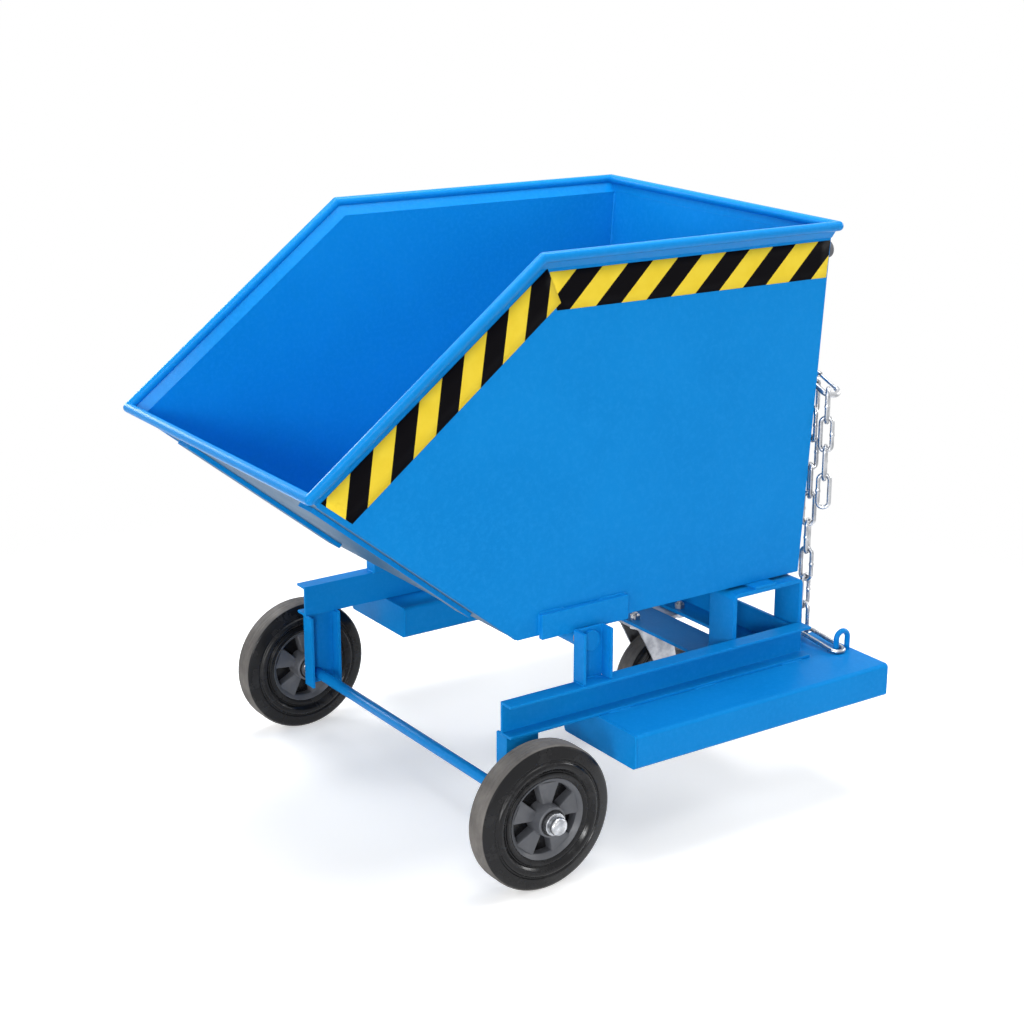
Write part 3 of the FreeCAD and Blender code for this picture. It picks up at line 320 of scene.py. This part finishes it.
def hazardTape():
    material, tree, shader, coords = freshMaterial("hazardTape")
    split = tree.nodes.new("ShaderNodeSeparateXYZ")
    tree.links.new(coords.outputs["UV"], split.inputs[0])
    slanted = math(tree, "ADD", split.outputs["X"], split.outputs["Y"])
    turns = math(tree, "FRACT", math(tree, "DIVIDE", slanted, 2 * tapeLook["band"]))
    share = math(tree, "GREATER_THAN", turns, 0.5)
    cloud = noise(tree, coords.outputs["Object"], tapeLook["cloud"], 3)
    yellow = mixColour(tree, remap(tree, cloud, *cloudSpan, 0, 1), tapeLook["yellow"], tapeLook["pale"])
    tree.links.new(mixColour(tree, share, tapeLook["black"], yellow), shader.inputs["Base Color"])
    tree.links.new(remap(tree, cloud, *cloudSpan, *tapeLook["rough"]), shader.inputs["Roughness"])
    wrinkle = noise(tree, coords.outputs["Object"], tapeLook["wrinkle"], 2)
    bump(tree, shader, wrinkle, tapeLook["wrinkleDepth"], tapeLook["wrinkleShare"])
    shader.inputs["Specular IOR Level"].default_value = tapeLook["shine"]
    return material


finishes = {"blue_paint": enamelPaint(sheetPaint), "tyre_rubber": dustyRubber(), "rim_plastic": mouldedPlastic(),
            "zinc_plate": platedMetal("zincPlate", zincLook),
            "galvanised_steel": platedMetal("pressedZinc", galvLook),
            "bush_bronze": platedMetal("bushBronze", bronzeLook),
            "bearing_steel": platedMetal("bearingSteel", steelLook)}
tapePrint = hazardTape()
beadEnamel = enamelPaint(beadPaint)
print("finishes mixed")

# tidying for the CAD solids: welded points and smooth round faces for every one, small eased edges for all but the
# round ones
edgeLook = {"join": 0.00002, "sharp": np.radians(34), "flat": np.radians(0.6), "segments": 2,
            "ease": {"default": 0.0010, "skip_left_side": 0.0006, "skip_right_side": 0.0006,
                     "skip_wrapper": 0.0006}}
roundNodes = {"skip_left_rim", "skip_right_rim", "skip_rear_rim", "skip_lip_rim", "chain_strand", "chain_tail",
              "chain_long_link", "pocket_eye", "wall_eye", "snap_hook", "snap_hook_gate"}


def joinedPoints():
    group = bpy.data.node_groups.new("joinedPoints", "GeometryNodeTree")
    group.interface.new_socket("Geometry", in_out="INPUT", socket_type="NodeSocketGeometry")
    group.interface.new_socket("Geometry", in_out="OUTPUT", socket_type="NodeSocketGeometry")
    start = group.nodes.new("NodeGroupInput")
    merge = group.nodes.new("GeometryNodeMergeByDistance")
    merge.inputs["Distance"].default_value = edgeLook["join"]
    smooth = group.nodes.new("GeometryNodeSetShadeSmooth")
    angle = group.nodes.new("GeometryNodeInputMeshEdgeAngle")
    sharp = group.nodes.new("FunctionNodeCompare")
    sharp.operation = "GREATER_THAN"
    sharp.inputs[1].default_value = edgeLook["sharp"]
    crease = group.nodes.new("GeometryNodeSetShadeSmooth")
    crease.domain = "EDGE"
    crease.inputs["Shade Smooth"].default_value = False
    end = group.nodes.new("NodeGroupOutput")
    chain = (start.outputs[0], merge.inputs[0]), (merge.outputs[0], smooth.inputs[0]), \
        (smooth.outputs[0], crease.inputs[0]), (crease.outputs[0], end.inputs[0]), \
        (angle.outputs["Unsigned Angle"], sharp.inputs[0]), (sharp.outputs[0], crease.inputs["Selection"])
    for first, second in chain:
        group.links.new(first, second)
    return group


def dressNodes():
    group = joinedPoints()
    slotOf = {row["node"]: row["material_slot"] for row in frame["record"]["subparts"]}
    for name, item in nodes.items():
        item.data.materials.clear()
        bead = name in roundNodes and slotOf[name] == "blue_paint"
        item.data.materials.append(beadEnamel if bead else finishes[slotOf[name]])
        item.modifiers.new("join", "NODES").node_group = group
        if name in roundNodes:
            continue
        flat = item.modifiers.new("flat", "DECIMATE")
        flat.decimate_type = "DISSOLVE"
        flat.angle_limit = edgeLook["flat"]
        ease = item.modifiers.new("ease", "BEVEL")
        ease.width = edgeLook["ease"].get(name, edgeLook["ease"]["default"])
        ease.segments = edgeLook["segments"]
        ease.limit_method = "ANGLE"
        ease.angle_limit = edgeLook["sharp"]
        ease.harden_normals = True


dressNodes()
print("solids painted and eased")


# faces of a grid of points, first index around or along, second across
def gridFaces(rows, columns, closeRows=False, closeColumns=False):
    i, j = np.meshgrid(np.arange(rows - (not closeRows)), np.arange(columns - (not closeColumns)), indexing="ij")
    after, beside = (i + 1) % rows, (j + 1) % columns
    return np.stack([i * columns + j, after * columns + j, after * columns + beside, i * columns + beside],
                    -1).reshape(-1, 4)


# several shells become one mesh object with smooth faces and its own UVs
def putShells(name, shells, material, sharp=None):
    points = np.concatenate([shell["points"].reshape(-1, 3) for shell in shells])
    starts = np.cumsum([0] + [shell["points"].reshape(-1, 3).shape[0] for shell in shells])
    quads = [shell["faces"] + start for shell, start in zip(shells, starts)]
    caps = [cap + start for shell, start in zip(shells, starts) for cap in shell.get("caps", [])]
    loops = np.concatenate([quad.reshape(-1) for quad in quads] + caps)
    sizes = np.concatenate([np.full(len(quad), quad.shape[1]) for quad in quads] + [[len(cap)] for cap in caps])
    mesh = bpy.data.meshes.new(name)
    mesh.vertices.add(len(points))
    mesh.vertices.foreach_set("co", points.astype(np.float32).ravel())
    mesh.loops.add(len(loops))
    mesh.loops.foreach_set("vertex_index", loops.astype(np.int32))
    mesh.polygons.add(len(sizes))
    mesh.polygons.foreach_set("loop_start", np.concatenate([[0], np.cumsum(sizes)[:-1]]).astype(np.int32))
    mesh.polygons.foreach_set("use_smooth", np.ones(len(sizes), bool))
    if all("uv" in shell for shell in shells):
        uv = np.concatenate([shell["uv"] for shell in shells] + [np.zeros((len(cap), 2)) for cap in caps])
        layer = mesh.uv_layers.new(name="surface")
        layer.data.foreach_set("uv", uv.astype(np.float32).ravel())
    mesh.update(calc_edges=True)
    mesh.validate()
    if sharp is not None:
        mesh.set_sharp_from_angle(angle=sharp)
    mesh.materials.append(material)
    item = bpy.data.objects.new(name, mesh)
    bpy.context.scene.collection.objects.link(item)
    return item


# UVs of a grid, one pair for each face corner; closed directions run on to a whole turn
def gridUv(u, v, closeRows=False, closeColumns=False):
    rows, columns = len(u) - (not closeRows), len(v) - (not closeColumns)
    u = np.append(u, 2 * u[-1] - u[-2]) if closeRows else u
    v = np.append(v, 2 * v[-1] - v[-2]) if closeColumns else v
    i, j = np.meshgrid(np.arange(rows), np.arange(columns), indexing="ij")
    corner = [(u[i], v[j]), (u[i + 1], v[j]), (u[i + 1], v[j + 1]), (u[i], v[j + 1])]
    return np.stack([np.stack(pair, -1) for pair in corner], -2).reshape(-1, 2)


# a closed profile (across, radius) turned about a line along Y through the centre:
# point(t, s) = centre + radius(s) * (sin t, 0, cos t) + across(s) * Y; the second UV is radius(s) / largest radius
def turned(centre, profile, steps):
    across, radius = profile.T
    t = np.linspace(0, 2 * np.pi, steps, endpoint=False)
    x = np.sin(t)[:, None] * radius
    z = np.cos(t)[:, None] * radius
    points = np.stack([x, np.broadcast_to(across, x.shape), z], -1) + np.asarray(centre)
    return {"points": points, "faces": gridFaces(steps, len(profile), True, True),
            "uv": gridUv(t / (2 * np.pi), radius / radius.max(), True, True)}


# rounds a closed outline's corners: each corner point becomes a run of points on a parabola, which takes up at most
# this share of the edges beside it
cornerShare = 0.42
cornerSteps = {"fine": 4, "plain": 3}


def softened(outline, size, steps):
    outline = np.asarray(outline, float)
    before, after = np.roll(outline, 1, 0), np.roll(outline, -1, 0)
    inLength = np.linalg.norm(before - outline, axis=1, keepdims=True)
    outLength = np.linalg.norm(after - outline, axis=1, keepdims=True)
    reach = np.minimum(np.minimum(inLength, outLength) * cornerShare, np.reshape(size, (-1, 1)))
    first = outline + (before - outline) / inLength * reach
    last = outline + (after - outline) / outLength * reach
    s = np.linspace(0, 1, steps)[None, :, None]
    run = (1 - s) ** 2 * first[:, None] + 2 * s * (1 - s) * outline[:, None] + s ** 2 * last[:, None]
    return run.reshape(-1, 2)


mm = 0.001
# how far the front axle stands ahead of the frame's origin, in mm
axleX = 169.5
# edges that turn further than this stay sharp
creaseAt = {"turned": np.radians(38), "seam": np.radians(60)}
wheelSet = {"left": {"centre": (0.1695, 0.397, 0.125), "body": "left_wheel", "tyre": "left_tyre"},
            "right": {"centre": (0.1695, -0.397, 0.125), "body": "right_wheel", "tyre": "right_tyre"}}
casterSet = {"caster": {"centre": (-0.3935, 0, 0.1), "body": "caster_wheel", "tyre": "caster_tyre"}}
# half of a tyre's outline from the tread's middle to the rim seat, in mm: across, radius, corner softness
frontTyre = {"half": [(0.8, 124.9, .3), (1.5, 123.9, .3), (2.2, 124.9, .3), (8.2, 124.97, .3), (8.9, 123.9, .3),
                      (9.6, 124.9, .3), (14.4, 124.7, .3), (15.0, 123.7, .3), (15.7, 124.5, .3), (17.8, 123.7, 1.2),
                      (19.5, 120.7, .5), (20.1, 119.9, .5), (22.4, 112.2, 2), (24.4, 104.8, 1), (24.8, 102.4, .4),
                      (23.0, 100.9, .5), (23.6, 98.2, 1), (27.0, 96.4, 1.6), (28.5, 92.6, 2.4), (28.0, 88.4, 2.4),
                      (24.4, 84.4, 2), (21.6, 81.8, 1), (22.2, 80.2, .6), (24.6, 79.0, .8), (25.2, 76.4, 1.2),
                      (24.2, 72.8, 1), (22.8, 69.6, .6)],
             "steps": 128}
casterTyre = {"half": [(5.6, 99.97, .3), (6.2, 99.0, .3), (6.8, 99.97, .3), (14.6, 99.5, 1), (19.0, 97.2, 1.5),
                       (22.8, 93.0, 2), (24.6, 88.4, 2), (24.7, 83.6, 1.5), (23.2, 81.2, .8), (24.3, 78.0, 1.2),
                       (23.6, 74.6, 1), (21.8, 72.2, .6)], "steps": 112}


# the half outline, mirrored into a closed ring section that starts and ends on the seat
def tyreProfile(shape):
    half = np.array(shape["half"])
    whole = np.vstack([half[::-1] * [-1, 1, 1], half])
    return softened(whole[:, :2], whole[:, 2], cornerSteps["fine"]) * mm


def makeTyres(wheels, shape):
    profile = tyreProfile(shape)
    for name, wheel in wheels.items():
        item = putShells(name + "TyreRubber", [turned(wheel["centre"], profile, shape["steps"])],
                         finishes["tyre_rubber"], creaseAt["turned"])
        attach(item, wheel["body"])
        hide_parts(wheel["tyre"])


# moulded rim, in mm: across and radius of the dished ring and of the hub; wedge petals between them
rimShape = {"ring": [(23.8, 69.5), (23.8, 68.6), (17.4, 62.0), (16.6, 61.2), (-16.6, 61.2), (-17.4, 62.0),
                     (-23.8, 68.6), (-23.8, 69.5)],
            "hub": [(37.9, 14.4), (37.9, 23.4), (36.2, 25.6), (18, 27.2), (-18, 27.2), (-36.2, 25.6), (-37.9, 23.4),
                    (-37.9, 14.4)],
            "petals": 5, "halfAngle": 18.5, "flare": 0.5, "inner": 24.5, "outer": 64.0, "hubFace": 20.5,
            "ringFace": 18.6, "fall": 0.7, "turn": -5.5,
            "rows": 14, "petalSoft": 0.14, "soft": 0.6, "steps": 96}
# a black disc behind the petals, painted shade for the dark depth of the windows, and the seal around each end of
# the hub
shadeDiscAndSeals = {"disc": [(1.5, 25.4), (1.5, 62.0), (-1.5, 62.0), (-1.5, 25.4)],
               "outerSeal": [(37.7, 19.2), (38.35, 19.2), (38.35, 22.4), (37.7, 22.4)], "soft": 0.3}


# one petal: s runs from hub to ring, and the section is a rounded box with its sides at angle +-half(s);
# its faces fall from hubFace to ringFace, and both ends sink into hub and ring
def rimPetal(centre, angle):
    s = np.linspace(0, 1, rimShape["rows"])
    radius = rimShape["inner"] + (rimShape["outer"] - rimShape["inner"]) * s
    half = np.radians(rimShape["halfAngle"] + rimShape["flare"] * s)
    face = rimShape["hubFace"] + (rimShape["ringFace"] - rimShape["hubFace"]) * s ** rimShape["fall"]
    box = softened([(-1, -1), (1, -1), (1, 1), (-1, 1)], rimShape["petalSoft"], cornerSteps["fine"])
    swing = half[:, None] * box[:, 0] + np.radians(angle)
    across = face[:, None] * box[:, 1]
    points = np.stack([radius[:, None] * np.sin(swing), across, radius[:, None] * np.cos(swing)], -1)
    count = len(box)
    ends = [np.arange(count), (len(s) - 1) * count + np.arange(count)[::-1]]
    return {"points": points * mm + np.asarray(centre), "faces": gridFaces(len(s), count, False, True)[:, ::-1],
            "caps": ends}


def plainTurned(centre, outline, soft, steps):
    shell = turned(centre, softened(outline, soft, cornerSteps["plain"])[::-1] * mm, steps)
    return {key: shell[key] for key in ("points", "faces")}


def makeRims():
    for side, wheel in wheelSet.items():
        shells = [plainTurned(wheel["centre"], rimShape[key], rimShape["soft"], rimShape["steps"])
                  for key in ("ring", "hub")]
        angles = rimShape["turn"] + 360 / rimShape["petals"] * np.arange(rimShape["petals"])
        shells += [rimPetal(wheel["centre"], angle) for angle in angles]
        item = putShells(side + "RimMoulding", shells, finishes["rim_plastic"], creaseAt["turned"])
        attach(item, wheel["body"])
        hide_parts(side + "_rim")
        seal = np.array(shadeDiscAndSeals["outerSeal"])
        # the black disc is painted shade deep in the windows between the petals; the seals are black rubber
        rings = [shadeDiscAndSeals["disc"], seal, seal[::-1] * [-1, 1]]
        shells = [plainTurned(wheel["centre"], ring, shadeDiscAndSeals["soft"], rimShape["steps"]) for ring in rings]
        item = putShells(side + "RimShadeDiscAndSeals", shells, finishes["tyre_rubber"], creaseAt["turned"])
        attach(item, wheel["body"])


# front axle's bar, and the round cap nuts that close over its ends; mm along the axle and radius
axleShape = {"bar": [(447.6, 9.9), (-447.6, 9.9), (-447.6, 0.2), (447.6, 0.2)],
             "cap": [(443.6, 14.6), (444.6, 15.4), (452.0, 15.2), (454.8, 14.0), (456.2, 11.8), (456.4, 8.6),
                     (455.6, 7.4), (455.5, 0.2), (448.5, 0.2), (448.5, 10.2), (443.6, 10.2)],
             "barSoft": 0.2, "capSoft": 0.8, "steps": 64}


def makeAxle():
    middle = (wheelSet["left"]["centre"][0], 0, wheelSet["left"]["centre"][2])
    bar = plainTurned(middle, axleShape["bar"][::-1], axleShape["barSoft"], axleShape["steps"])
    item = putShells("axleBar", [bar], beadEnamel, creaseAt["turned"])
    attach(item, "chassis")
    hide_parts("front_axle")
    cap = np.array(axleShape["cap"])
    shells = [plainTurned(middle, outline, axleShape["capSoft"], axleShape["steps"])
              for outline in (cap, cap[::-1] * [-1, 1])]
    item = putShells("axleCapNuts", shells, finishes["zinc_plate"], creaseAt["turned"])
    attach(item, "chassis")
    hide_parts("axle_nuts")


makeTyres(wheelSet, frontTyre)
makeTyres(casterSet, casterTyre)
makeRims()
makeAxle()
print("wheels turned")

# hazard tape on both side sheets, in mm from the front axle: each strip's corners as (along, above) in a frame at
# the sheet's bend, turned by the strip's own angle, and how its printed bands are shifted and stretched along
tapeSet = {"proud": 0.45, "thick": 0.25, "face": 303.0, "rows": 30, "columns": 4, "bend": (-66.2, 986.9),
           "strips": {"level": {"turn": 0.991, "shift": 121.5, "stretch": 1.014, "lift": 0.0,
                                "corners": [(-595.2, -4.0), (-590.2, -67.0), (-30.0, -66.0), (-14.6, -4.2)]},
                      "slope": {"turn": -36.96, "shift": 27.0, "stretch": 1.0, "lift": 0.3,
                                "corners": [(-8.9, -5.0), (4.1, -65.6), (483.0, -69.3), (500.0, -5.0)]}}}


# a strip between four corners: point(s, t) mixes them along and across; UV is metres along and across the tape
def tapeStrip(strip, side):
    topStart, lowStart, lowEnd, topEnd = [np.array(corner) for corner in strip["corners"]]
    s = np.linspace(0, 1, tapeSet["rows"])[:, None, None]
    t = np.linspace(0, 1, tapeSet["columns"])[None, :, None]
    flat = (1 - s) * ((1 - t) * lowStart + t * topStart) + s * ((1 - t) * lowEnd + t * topEnd)
    turn = np.radians(strip["turn"])
    x = tapeSet["bend"][0] + axleX + flat[..., 0] * np.cos(turn) - flat[..., 1] * np.sin(turn)
    z = tapeSet["bend"][1] + flat[..., 0] * np.sin(turn) + flat[..., 1] * np.cos(turn)
    y = np.full(x.shape, side * (tapeSet["face"] + tapeSet["proud"] + strip["lift"]))
    faces = gridFaces(*x.shape)
    faces = faces if side > 0 else faces[:, ::-1]
    uv = (flat * [strip["stretch"], 1] + [strip["shift"], 0]).reshape(-1, 2)[faces.ravel()]
    return {"points": np.stack([x, y, z], -1) * mm, "faces": faces, "uv": uv * mm}


def makeTape():
    for name, side in (("left", 1), ("right", -1)):
        item = putShells(name + "HazardTape", [tapeStrip(strip, side) for strip in tapeSet["strips"].values()],
                         tapePrint)
        solid = item.modifiers.new("thick", "SOLIDIFY")
        solid.thickness = tapeSet["thick"] * mm
        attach(item, "skip")


makeTape()
print("tape laid")

# weld seams in mm from the front axle, drawn on both sides: start, end and radius
weldSet = {
    "chassis": [((-39, 338, 244), (23, 338, 244), 2.8), ((23, 310, 244), (23, 338, 244), 2.6),
                ((-39, 310, 244), (-39, 338, 244), 2.6), ((-121.5, 320, 302), (-121.5, 349, 302), 2.6),
                ((-180.5, 320, 302), (-180.5, 349, 302), 2.6), ((-127, 324.6, 302), (-175, 324.6, 302), 2.4),
                ((-170, 354, 244), (-214, 354, 244), 2.4), ((-352, 354, 244), (-396, 354, 244), 2.4),
                ((-548, 354, 244), (-592, 354, 244), 2.4), ((-148, 327, 244), (-148, 352, 244), 2.2),
                ((-458, 323.6, 254), (-458, 323.6, 299), 2.2)],
    "skip": [((-618.5, 299.6, 392), (-659.6, 299.6, 974), 2.8), ((-614, 299.6, 391.4), (-26, 299.6, 391.4), 2.2),
             ((-22, 299.6, 392.5), (335, 299.6, 681.4), 2.2), ((-238, 303.4, 426), (-184, 303.4, 426), 2.6),
             ((-112, 303.4, 426), (-64, 303.4, 426), 2.6),
             ((-238.5, 303.4, 390), (-238.5, 303.4, 426), 2.3), ((-63.5, 303.4, 390), (-63.5, 303.4, 426), 2.3),
             ((-621.4, 300.4, 391), (-662.6, 300.4, 968), 1.3), ((-20, 300.4, 389), (336, 300.4, 677.6), 1.3)]}
weldLook = {"pitch": 4.2, "step": 1.4, "ripple": 0.16, "around": 8, "least": 4,
            "slant": (0.31, 0.52, 0.79), "tip": 0.08}


# one seam: point(s, t) = start + s * run + r(s) * (cos t * a + sin t * b), with a and b square to the run and
# r(s) = radius * (1 - ripple * |sin(pi * s * length / pitch)|), closing at both ends
def weldSeam(start, end, radius, side):
    start, end = [np.array(point) * [1, side, 1] + [axleX, 0, 0] for point in (start, end)]
    run = end - start
    length = np.linalg.norm(run)
    along = run / length
    a = np.cross(along, weldLook["slant"])
    a = a / np.linalg.norm(a)
    b = np.cross(along, a)
    s = np.linspace(0, 1, int(length / weldLook["step"]) + weldLook["least"])
    t = np.linspace(0, 2 * np.pi, weldLook["around"], endpoint=False)
    swell = 1 - weldLook["ripple"] * np.abs(np.sin(np.pi * s * length / weldLook["pitch"]))
    r = radius * swell * np.clip(np.minimum(s, 1 - s) * length / radius, weldLook["tip"], 1) ** 0.5
    ring = np.cos(t)[:, None] * a + np.sin(t)[:, None] * b
    points = start + s[:, None, None] * run + r[:, None, None] * ring
    count = len(t)
    ends = [np.arange(count)[::-1], (len(s) - 1) * count + np.arange(count)]
    return {"points": points * mm, "faces": gridFaces(len(s), count, False, True), "caps": ends}


def makeWelds():
    for body, seams in weldSet.items():
        item = putShells(body + "Welds", [weldSeam(*seam, side) for seam in seams for side in (1, -1)],
                         finishes["blue_paint"], creaseAt["seam"])
        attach(item, body)


# small round stop high on the rear wall, above the chain: mm out from the wall and radius, turned about X
stopShape = {"outline": [(-1.3, 15.0), (14.0, 15.0), (16.5, 12.4), (16.5, 5.0), (13.5, 4.4), (13.5, 0.2),
                         (-1.3, 0.2)],
             "wall": (-661.4, 283.0, 953.5), "soft": 0.8, "steps": 48}


def makeStop():
    shell = plainTurned((0, 0, 0), stopShape["outline"], stopShape["soft"], stopShape["steps"])
    place = np.array(stopShape["wall"]) + [axleX, 0, 0]
    shell["points"] = shell["points"][..., [1, 0, 2]] * [-1, 1, 1] + place * mm
    item = putShells("wallStop", [shell], finishes["rim_plastic"], creaseAt["turned"])
    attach(item, "skip")


# the butt weld on one side of each chain link, in mm: links hang at one pitch below the top link's middle, each
# turned on from the one above
chainSet = [{"top": (-499.5, 271.614, 694.724), "links": 9, "first": 0.0, "step": 78.75},
            {"top": (-504.186, 302.502, 682.244), "links": 4, "first": 42.84, "step": 90.0}]
bumpShape = {"pitch": 51.7, "side": 10.0, "bar": 3.9, "swell": 0.95, "half": 5.5, "rows": 11, "around": 14}


# one bump about an upright line: r(s) = bar + swell * cos(pi * s / 2) ** 2 over s from -1 to 1
def linkBump(centre):
    s = np.linspace(-1, 1, bumpShape["rows"])
    t = np.linspace(0, 2 * np.pi, bumpShape["around"], endpoint=False)
    r = bumpShape["bar"] + bumpShape["swell"] * np.cos(np.pi * s / 2) ** 2
    points = np.stack([r[:, None] * np.cos(t), r[:, None] * np.sin(t),
                       np.broadcast_to(s[:, None] * bumpShape["half"], (len(s), len(t)))], -1)
    count = len(t)
    ends = [np.arange(count)[::-1], (len(s) - 1) * count + np.arange(count)]
    return {"points": (points + centre) * mm, "faces": gridFaces(len(s), count, False, True)[:, ::-1],
            "caps": ends}


def makeChainWelds():
    shells = []
    for chain in chainSet:
        k = np.arange(chain["links"])
        angle = np.radians(chain["first"] + chain["step"] * k)
        offset = np.stack([bumpShape["side"] * np.cos(angle), bumpShape["side"] * np.sin(angle),
                           -bumpShape["pitch"] * k], -1)
        centres = np.array(chain["top"]) + offset
        shells += [linkBump(centre) for centre in centres]
    item = putShells("chainWelds", shells, finishes["zinc_plate"], creaseAt["seam"])
    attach(item, "skip")


makeWelds()
makeStop()
makeChainWelds()
print("seams and stop added")
